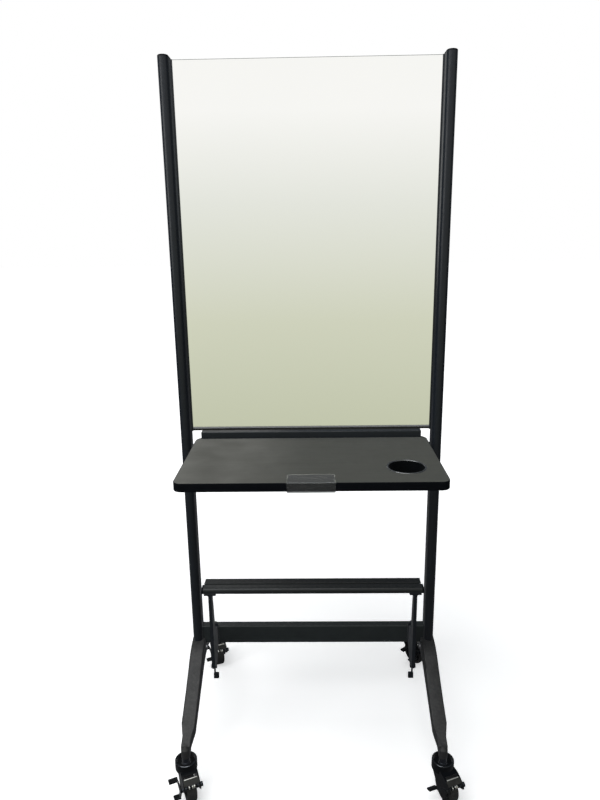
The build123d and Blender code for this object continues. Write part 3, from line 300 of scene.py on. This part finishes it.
# A finish for each slot of the record, and a few for single pieces. Coats and metals take two
# tones and a roughness, and mouldings also the scale of their grain and a specular level.
FINISHES = {
    "satin_black_steel": (powder_coat, (0.0020, 0.0046, 0.0086), (0.0040, 0.0072, 0.0122), 0.36),
    "black_aluminium": (powder_coat, (0.0045, 0.0070, 0.0085), (0.0080, 0.0110, 0.0125), 0.42),
    # The feet: the posts' black coat made paler, painted light for the overhead light on their upward faces.
    "foot_coat_painted_light": (powder_coat, (0.0165, 0.0168, 0.0175), (0.0245, 0.0248, 0.0255), 0.50),
    "bar_coat": (powder_coat, (0.0115, 0.0165, 0.0180), (0.0165, 0.0225, 0.0240), 0.46),
    "black_plastic": (moulded, (0.0012, 0.0018, 0.0034), (0.0022, 0.003, 0.005), 0.5, 1400.0, 0.06),
    "cup_plastic": (moulded, (0.0006, 0.0012, 0.0018), (0.0014, 0.0022, 0.003), 0.5, 1400.0, 0.06),
    "plug_steel": (metal, (0.35, 0.35, 0.36), (0.5, 0.5, 0.5), 0.4),
    "zinc_screws": (metal, (0.10, 0.10, 0.11), (0.18, 0.18, 0.19), 0.34),
    "mirror_silver": (mirror_silver,),
    "mirror_edge": (moulded, (0.05, 0.065, 0.06), (0.09, 0.11, 0.10), 0.3, 900.0, 0.5),
    "black_board": (board,),
    "shelf_laminate": (laminate,),
    "bright_ring": (metal, (0.13, 0.135, 0.14), (0.22, 0.225, 0.23), 0.22),
    "clear_plastic": (clear_plastic,),
    # Pale bead on the clear guard's edges: a painted highlight.
    "guard_edge_painted_highlight": (moulded, (0.26, 0.265, 0.24), (0.36, 0.365, 0.33), 0.25, 700.0, 0.5),
    "caster_black": (moulded, (0.0008, 0.0016, 0.0028), (0.0020, 0.0028, 0.0044), 0.34, 1100.0, 0.13),
    "hood_face": (moulded, (0.014, 0.0145, 0.0135), (0.032, 0.032, 0.0285), 0.5, 700.0, 0.22),
    "crown_ring": (metal, (0.11, 0.12, 0.135), (0.19, 0.20, 0.22), 0.16),
    "bright_zinc": (metal, (0.40, 0.40, 0.38), (0.62, 0.62, 0.59), 0.2),
    # Pale metal on the hood lip: a painted highlight on the black hood's edge.
    "lip_painted_highlight": (metal, (0.56, 0.56, 0.54), (0.76, 0.76, 0.73), 0.30),
    "caster_steel": (metal, (0.020, 0.023, 0.030), (0.048, 0.052, 0.060), 0.22),
    "caster_tyre": (tyre_rubber,),
}


def make_materials():
    """Every finish as a material, by name."""
    return {name: kind(name, *values) for name, (kind, *values) in FINISHES.items()}


# ---- CAD nodes carried over, or copied with eased edges ----
WELD_DISTANCE = 0.005 * MM
FLAT_ANGLE = 0.6
SHARP_ANGLE = 32.0


def slot_of(node):
    for entry in frame["record"]["subparts"]:
        if entry["node"] == node:
            return entry["material_slot"]
    raise KeyError(node)


def body_of(node):
    for body, members in frame["record"]["behaviour"]["bodies"].items():
        if node in members:
            return body
    raise KeyError(node)


def dress(obj, material):
    obj.data.materials.clear()
    obj.data.materials.append(material)


def add_piece(name, mesh, node, material):
    """Put a new piece in the scene that stands for a CAD node."""
    piece = bpy.data.objects.new(name, mesh)
    bpy.context.scene.collection.objects.link(piece)
    dress(piece, material)
    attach(piece, body_of(node))
    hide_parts(node)
    return piece


def cleaned_mesh(node):
    """The CAD node's surface, with its triangles joined into flat faces again."""
    source = frame["nodes"][node].data
    mesh = bpy.data.meshes.new(node + "_clean")
    mesh.from_pydata([v.co[:] for v in source.vertices], [], [p.vertices[:] for p in source.polygons])
    bm = bmesh.new()
    bm.from_mesh(mesh)
    bmesh.ops.remove_doubles(bm, verts=bm.verts[:], dist=WELD_DISTANCE)
    flat = math.radians(FLAT_ANGLE)
    bmesh.ops.dissolve_limit(bm, angle_limit=flat, verts=bm.verts[:], edges=bm.edges[:])
    bm.to_mesh(mesh)
    bm.free()
    return mesh


def ease_edges(node, width, material):
    """A copy of a CAD node whose sharp edges are rounded by a small radius."""
    mesh = cleaned_mesh(node)
    mesh.shade_smooth()
    mesh.set_sharp_from_angle(angle=math.radians(SHARP_ANGLE))
    piece = add_piece(node + "_eased", mesh, node, material)
    bevel = piece.modifiers.new("ease", "BEVEL")
    bevel.width = width
    bevel.segments = 2
    bevel.limit_method = "ANGLE"
    bevel.angle_limit = math.radians(SHARP_ANGLE)
    bevel.use_clamp_overlap = True
    bevel.harden_normals = True
    return piece


# ---- Stage ----
FLOOR_REACH = 30.0
FLOOR_GLOW = (0.54, 1.0)  # under the station, and far from it
FLOOR_GLOW_REACH = (0.6, 2.6)  # how far out the first ends and the second begins

WALL_DISTANCE = 3.0  # from the posts to the studio wall that the mirror faces
WALL_HALF_WIDTH = 7.0
WALL_BOTTOM, WALL_TOP = -0.02, 4.5
WALL_SHADE_TOP = 2.6

PANEL_DISTANCE = 2.4  # from the posts to the panel behind them
PANEL_LEFT, PANEL_RIGHT = -1.9, -0.25
PANEL_BOTTOM, PANEL_TOP = 1.2, 3.0
PANEL_STRENGTH = 1.1


def add_sheet(name, corners, material):
    """One flat stage face."""
    mesh = bpy.data.meshes.new(name)
    mesh.from_pydata(corners, [], [(0, 1, 2, 3)])
    sheet = bpy.data.objects.new(name, mesh)
    bpy.context.scene.collection.objects.link(sheet)
    dress(sheet, material)
    return sheet


def make_floor():
    """Pale floor. It looks white from the camera, and returns less light to the object."""
    s = Shader("floor_paint")
    s.set(Roughness=0.9, Specular_IOR_Level=0.0, Emission_Color=(1.0, 1.0, 1.0, 1.0))
    seen = s.node("ShaderNodeLightPath").outputs["Is Camera Ray"]
    mottle = s.noise(0.8, 2.0)
    paint = s.ramp(mottle, [(0.3, (0.90, 0.90, 0.90)), (0.7, (0.92, 0.92, 0.92))])
    dull = s.ramp(mottle, [(0.3, (0.30, 0.30, 0.31)), (0.7, (0.33, 0.33, 0.34))])
    s.color(s.blend(seen, dull, paint))
    distance = s.node("ShaderNodeVectorMath", operation="LENGTH")
    s.link(s.place, distance.inputs[0])
    glow = s.remap(distance.outputs["Value"], *FLOOR_GLOW_REACH, *FLOOR_GLOW)
    s.link(s.math("MULTIPLY", seen, glow), s.surface.inputs["Emission Strength"])
    near, far = -FLOOR_REACH, FLOOR_REACH
    add_sheet("floor", [(near, near, 0.0), (far, near, 0.0), (far, far, 0.0), (near, far, 0.0)], s.material)


def add_glow_sheet(name, y, sides, heights, strength, shade_heights, stops):
    """An upright stage face that glows, and that only reflections show."""
    s = Shader(name + "_glow")
    s.set(Base_Color=(0.0, 0.0, 0.0, 1.0), Specular_IOR_Level=0.0, Emission_Strength=strength)
    shade = s.ramp(s.remap(s.height(), *shade_heights, 0.0, 1.0), stops)
    s.link(shade, s.surface.inputs["Emission Color"])
    left, right = POSTS.x + sides[0], POSTS.x + sides[1]
    bottom, top = heights
    corners = [(left, y, bottom), (right, y, bottom), (right, y, top), (left, y, top)]
    sheet = add_sheet(name, corners, s.material)
    sheet.visible_camera = False
    sheet.visible_diffuse = False
    sheet.visible_shadow = False
    sheet.visible_transmission = False


def make_facing_wall():
    """The wall behind the camera, paler upward, that fills the mirror."""
    stops = [
        (0.0, (0.575, 0.594, 0.444)),
        (0.30, (0.666, 0.677, 0.538)),
        (0.62, (0.823, 0.826, 0.766)),
        (0.85, (0.985, 0.97, 0.95)),
    ]
    sides = (-WALL_HALF_WIDTH, WALL_HALF_WIDTH)
    heights = (WALL_BOTTOM, WALL_TOP)
    y = POSTS.y - WALL_DISTANCE
    add_glow_sheet("facing_wall", y, sides, heights, 1.0, (0.0, WALL_SHADE_TOP), stops)


def make_rear_panel():
    """A panel behind the station, to the left, that puts a sheen on its top surfaces."""
    stops = [(0.0, (1.0, 1.0, 0.96)), (1.0, (0.7, 0.7, 0.7))]
    heights = (PANEL_BOTTOM, PANEL_TOP)
    y = POSTS.y + PANEL_DISTANCE
    add_glow_sheet("rear_panel", y, (PANEL_LEFT, PANEL_RIGHT), heights, PANEL_STRENGTH, heights, stops)


WORLD_COLOUR = (0.88, 0.95, 1.0, 1.0)
WORLD_STRENGTH = 0.22
LIGHTS = {  # place, aim, size in metres and power in watts
    "overhead": ((-0.7, -0.9, 3.4), (0.0, -0.1, 0.4), 2.8, 78.0),
    "left_fill": ((-2.6, -1.6, 1.9), (0.0, 0.0, 0.8), 1.4, 22.0),
}


def add_area_light(name, place, aim, size, power):
    data = bpy.data.lights.new(name, "AREA")
    data.shape = "DISK"
    data.size = size
    data.energy = power
    light = bpy.data.objects.new(name, data)
    light.location = place
    light.rotation_euler = (Vector(aim) - Vector(place)).to_track_quat("-Z", "Y").to_euler()
    bpy.context.scene.collection.objects.link(light)


def make_lights():
    """A dim cool surround that looks white itself, a large softbox above, and a left fill."""
    world = bpy.data.worlds.new("studio")
    bpy.context.scene.world = world
    world.use_nodes = True
    tree = world.node_tree
    background = tree.nodes["Background"]
    background.inputs["Color"].default_value = WORLD_COLOUR
    background.inputs["Strength"].default_value = WORLD_STRENGTH
    seen = tree.nodes.new("ShaderNodeBackground")
    seen.inputs["Color"].default_value = (1.0, 1.0, 1.0, 1.0)
    seen.inputs["Strength"].default_value = 1.0
    path = tree.nodes.new("ShaderNodeLightPath")
    choose = tree.nodes.new("ShaderNodeMixShader")
    tree.links.new(path.outputs["Is Camera Ray"], choose.inputs[0])
    tree.links.new(background.outputs[0], choose.inputs[1])
    tree.links.new(seen.outputs[0], choose.inputs[2])
    tree.links.new(choose.outputs[0], tree.nodes["World Output"].inputs["Surface"])
    for name, settings in LIGHTS.items():
        add_area_light(name, *settings)
    bpy.context.scene.view_settings.view_transform = "Standard"


# ---- The station ----
# CAD nodes shown as copies with eased edges, and how far each is eased.
EASED = {
    "mirror_rail": 0.8 * MM,
    "mirror_backboard": 0.6 * MM,
    "foot_bolts": 0.7 * MM,
    "footrest_bracket_bolts": 0.6 * MM,
    "footrest_screws": 0.5 * MM,
    "shelf_screws": 0.5 * MM,
    "shelf_board": 0.15 * MM,
    "shelf_edge_band": 0.15 * MM,
    "dryer_cup": 0.5 * MM,
    "dryer_cup_rim": 0.2 * MM,
    "clear_edge_guard": 0.4 * MM,
}
SIDE_EASED = {
    "foot": 1.2 * MM,
    "mirror_stile": 0.4 * MM,
    "shelf_bracket": 0.6 * MM,
    "footrest_bracket": 0.9 * MM,
}
CASTER_EASED = {
    "fork": 0.8 * MM,
    "brake_pedal": 0.9 * MM,
    "brake_shaft": 0.5 * MM,
    "wheel": 0.8 * MM,
    "axle": 0.7 * MM,
    "stem": 0.5 * MM,
}
# Nodes whose finish isn't the one of their slot. The feet's is a paler copy of the black coat: painted light,
# for the overhead light on their upward faces.
OWN_FINISH = {
    "left_foot": "foot_coat_painted_light",
    "right_foot": "foot_coat_painted_light",
    "crossbar": "bar_coat",
    "dryer_cup": "cup_plastic",
}


def dress_station(materials):
    """Give every CAD node its finished material, and ease the edges of those that need it.

    Reflections leave the station out, so that its mirror shows an empty studio.
    """
    finish = {node: materials[OWN_FINISH.get(node, slot_of(node))] for node in frame["nodes"]}
    for node, obj in frame["nodes"].items():
        dress(obj, finish[node])
        obj.visible_glossy = False
    widths = dict(EASED)
    widths.update((f"{side}_{part}", width) for part, width in SIDE_EASED.items() for side in SIDES)
    for corner in CORNERS:
        widths.update((f"{corner}_{part}", width) for part, width in CASTER_EASED.items())
    for node, width in widths.items():
        ease_edges(node, width, finish[node]).visible_glossy = False


# ---- Small extra pieces, which no CAD node stands for ----
def add_detail(name, bm, body, material, bevel=0.0):
    """Put a small piece built in code in the scene, riding on a body."""
    bmesh.ops.recalc_face_normals(bm, faces=bm.faces[:])
    mesh = bpy.data.meshes.new(name)
    bm.to_mesh(mesh)
    bm.free()
    mesh.shade_smooth()
    mesh.set_sharp_from_angle(angle=math.radians(SHARP_ANGLE))
    piece = bpy.data.objects.new(name, mesh)
    bpy.context.scene.collection.objects.link(piece)
    if bevel:
        ease = piece.modifiers.new("ease", "BEVEL")
        ease.width = bevel
        ease.segments = 2
        ease.limit_method = "ANGLE"
    dress(piece, material)
    piece.visible_glossy = False
    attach(piece, body)


def add_block(bm, low, high):
    """Add a box between two corners."""
    xs, ys, zs = zip(low, high)
    v = [bm.verts.new((x, y, z)) for x in xs for y in ys for z in zs]
    for face in ((0, 1, 3, 2), (4, 6, 7, 5), (0, 4, 5, 1), (2, 3, 7, 6), (0, 2, 6, 4), (1, 5, 7, 3)):
        bm.faces.new([v[i] for i in face])


def add_skin(bm, rings, endless=False):
    """Join rings of points into one skin, closed at both ends or running round on itself."""
    rings = [[bm.verts.new(point) for point in ring] for ring in rings]
    following = rings[1:] + rings[:1] if endless else rings[1:]
    for first, second in zip(rings, following):
        for i in range(len(first)):
            j = (i + 1) % len(first)
            bm.faces.new((first[i], first[j], second[j], second[i]))
    if not endless:
        bm.faces.new(rings[0][::-1])
        bm.faces.new(rings[-1])


def circle(sides):
    """Cosine and sine of each of so many equal turns."""
    turns = [2 * math.pi * side / sides for side in range(sides)]
    return [(math.cos(turn), math.sin(turn)) for turn in turns]


EDGE_PROUD = 0.2 * MM  # in front of the glass
EDGE_HEIGHT = 1.0 * MM
EDGE_BELOW_TOP = 0.05 * MM
EDGE_EASE = 0.1 * MM

GUARD_CORNER_R = 7.0 * MM
GUARD_CORNER_STEPS = 6
BEAD_R = 0.45 * MM
BEAD_SIDES = 8


def add_mirror_edge(materials):
    """The dark polished top edge of the mirror glass."""
    low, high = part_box("mirror_glass")
    bm = bmesh.new()
    near = (low[0], low[1] - EDGE_PROUD, high[2] - EDGE_HEIGHT)
    add_block(bm, near, (high[0], high[1], high[2] - EDGE_BELOW_TOP))
    finish = materials["mirror_edge"]
    add_detail("mirror_top_edge", bm, "frame_and_shelf", finish, EDGE_EASE)


def add_rod(bm, path, radius):
    """Add a closed rod of this radius along a path of points."""
    rings = []
    for i, point in enumerate(path):
        ahead = path[min(i + 1, len(path) - 1)] - path[max(i - 1, 0)]
        turn = ahead.to_track_quat("Z", "Y").to_matrix()
        rings.append([point + turn @ Vector((radius * c, radius * s, 0.0)) for c, s in circle(BEAD_SIDES)])
    add_skin(bm, rings)


def add_guard_painted_highlight(materials):
    """A pale rod round the clear guard's top, and along its front lower edge: a painted highlight on those
    edges.
    """
    low, high = (Vector(corner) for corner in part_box("clear_edge_guard"))
    top, bottom = high.z - BEAD_R, low.z + BEAD_R
    left, right = low.x + BEAD_R, high.x - BEAD_R
    front, back = low.y + BEAD_R, high.y - BEAD_R
    path = [Vector((left, front, top))]
    for centre_x, start in ((left + GUARD_CORNER_R, 180), (right - GUARD_CORNER_R, 90)):
        for step in range(GUARD_CORNER_STEPS + 1):
            angle = math.radians(start - 90 * step / GUARD_CORNER_STEPS)
            x = centre_x + GUARD_CORNER_R * math.cos(angle)
            path.append(Vector((x, back - GUARD_CORNER_R + GUARD_CORNER_R * math.sin(angle), top)))
    path.append(Vector((right, front, top)))
    bm = bmesh.new()
    add_rod(bm, path, BEAD_R)
    add_rod(bm, [Vector((left, front, bottom)), Vector((right, front, bottom))], BEAD_R)
    add_detail("clear_guard_painted_highlight", bm, "frame_and_shelf", materials["guard_edge_painted_highlight"])


# ---- Casters ----
# The first five are the hood's own dimensions, as part.py has them. Angles at the axle are above
# forward.
HOOD_R = 49.0 * MM
HOOD_THICKNESS = 3.0 * MM
HOOD_END_ANGLE = 45.0
WINDOW_LOW_ANGLE = 63.5
WINDOW_HALF_WIDTH = 16.5 * MM

LIP_END_ANGLE = WINDOW_LOW_ANGLE - 2.6
LIP_STEPS = 8
LIP_EASE = 0.25 * MM
LIP_SECTION = (  # radius and angle
    (HOOD_R - HOOD_THICKNESS, WINDOW_LOW_ANGLE),
    (HOOD_R + 0.2 * MM, WINDOW_LOW_ANGLE + 0.3),
    (HOOD_R + 0.7 * MM, WINDOW_LOW_ANGLE - 0.9),
    (HOOD_R + 0.6 * MM, LIP_END_ANGLE + 0.8),
    (HOOD_R - 0.2 * MM, LIP_END_ANGLE),
)

FACE_END_ANGLE = HOOD_END_ANGLE + 0.4
FACE_STEPS = 6
FACE_HALF_WIDTH = 19.5 * MM
FACE_INNER_R = HOOD_R - 0.5 * MM
FACE_OUTER_R = HOOD_R + 0.15 * MM

CROWN_RING_R = 26.0 * MM
CROWN_RING_STEPS = 48
CROWN_BEAD_R = 0.7 * MM

SLEEVE_R = 4.1 * MM
SLEEVE_HALF = 13.5 * MM
COLLAR_R = 4.35 * MM
COLLAR_HALF = 1.6 * MM
COLLAR_ACROSS = (-7.0 * MM, 1.5 * MM, 6.0 * MM)
CHAMFER = 0.4 * MM
TURNED_SIDES = 20


def joint_of(name):
    for joint in frame["record"]["behaviour"]["joints"]:
        if joint["name"] == name:
            return joint
    raise KeyError(name)


class Caster:
    """Directions of one caster: its axle's middle, forward, lateral and up."""

    def __init__(self, corner):
        roll = joint_of(corner + "_roll")
        self.corner = corner
        self.axle = Vector(roll["pos_m"])
        self.lateral = Vector(roll["axis"])
        self.up = Vector((0.0, 0.0, 1.0))
        self.forward = self.lateral.cross(self.up)

    def at(self, radius, angle, across):
        """A point at this radius and angle above forward, this far along the axle."""
        turn = math.radians(angle)
        along = self.forward * math.cos(turn) + self.up * math.sin(turn)
        return self.axle + along * radius + self.lateral * across

    def turned(self, bm, middle, across, half, radius):
        """Add a chamfered disc or sleeve across the caster, this far to the side of a point."""
        profile = (
            (-half, radius - CHAMFER),
            (-half + CHAMFER, radius),
            (half - CHAMFER, radius),
            (half, radius - CHAMFER),
        )
        rings = []
        for offset, reach in profile:
            centre = middle + self.lateral * (across + offset)
            rings.append([centre + (self.forward * c + self.up * s) * reach for c, s in circle(TURNED_SIDES)])
        add_skin(bm, rings)

    def detail(self, name, bm, body, slot, material, bevel=0.0):
        add_detail(f"{self.corner}_{name}", bm, f"{self.corner}_{body}", material, bevel)


def add_painted_lip_highlight(caster, materials):
    """Rolled lip along the lower edge of the window in the hood, in pale metal: a painted highlight on that
    edge of the black hood.
    """
    rings = []
    for step in range(LIP_STEPS + 1):
        across = WINDOW_HALF_WIDTH * (2 * step / LIP_STEPS - 1)
        rings.append([caster.at(radius, angle, across) for radius, angle in LIP_SECTION])
    bm = bmesh.new()
    add_skin(bm, rings)
    caster.detail("hood_lip_painted_highlight", bm, "swivel", "caster_steel", materials["lip_painted_highlight"], LIP_EASE)


def add_hood_face(caster, materials):
    """The paler face of the hood between its lip and its lower edge."""
    rings = []
    for step in range(FACE_STEPS + 1):
        angle = LIP_END_ANGLE - (LIP_END_ANGLE - FACE_END_ANGLE) * step / FACE_STEPS
        rings.append([
            caster.at(FACE_INNER_R, angle, -FACE_HALF_WIDTH),
            caster.at(FACE_OUTER_R, angle, -FACE_HALF_WIDTH),
            caster.at(FACE_OUTER_R, angle, FACE_HALF_WIDTH),
            caster.at(FACE_INNER_R, angle, FACE_HALF_WIDTH),
        ])
    bm = bmesh.new()
    add_skin(bm, rings)
    caster.detail("hood_face", bm, "swivel", "caster_black", materials["hood_face"])


def add_crown_ring(caster, materials):
    """Thin bright bead on the rim of the dished crown."""
    middle = Vector(joint_of(caster.corner + "_swivel")["pos_m"])
    middle.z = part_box(caster.corner + "_fork")[1][2] - CROWN_BEAD_R / 2
    rings = []
    for x, y in circle(CROWN_RING_STEPS):
        outward = Vector((x, y, 0.0))
        rings.append([
            middle + outward * (CROWN_RING_R + CROWN_BEAD_R * c) + caster.up * CROWN_BEAD_R * s
            for c, s in circle(BEAD_SIDES)
        ])
    bm = bmesh.new()
    add_skin(bm, rings, endless=True)
    caster.detail("crown_ring", bm, "swivel", "caster_steel", materials["crown_ring"])


def add_brake_clips(caster, materials):
    """Three bright collars on a dark sleeve round the brake shaft."""
    middle = Vector(joint_of(caster.corner + "_brake")["pos_m"])
    sleeve = bmesh.new()
    caster.turned(sleeve, middle, 0.0, SLEEVE_HALF, SLEEVE_R)
    caster.detail("brake_sleeve", sleeve, "brake", "caster_black", materials["caster_black"])
    collars = bmesh.new()
    for across in COLLAR_ACROSS:
        caster.turned(collars, middle, across, COLLAR_HALF, COLLAR_R)
    caster.detail("brake_collars", collars, "brake", "caster_steel", materials["bright_zinc"])


make_camera()
make_floor()
make_facing_wall()
make_rear_panel()
make_lights()
finishes = make_materials()
dress_station(finishes)
add_mirror_edge(finishes)
add_guard_painted_highlight(finishes)
for corner_name in CORNERS:
    corner_caster = Caster(corner_name)
    add_painted_lip_highlight(corner_caster, finishes)
    add_hood_face(corner_caster, finishes)
    add_crown_ring(corner_caster, finishes)
    add_brake_clips(corner_caster, finishes)
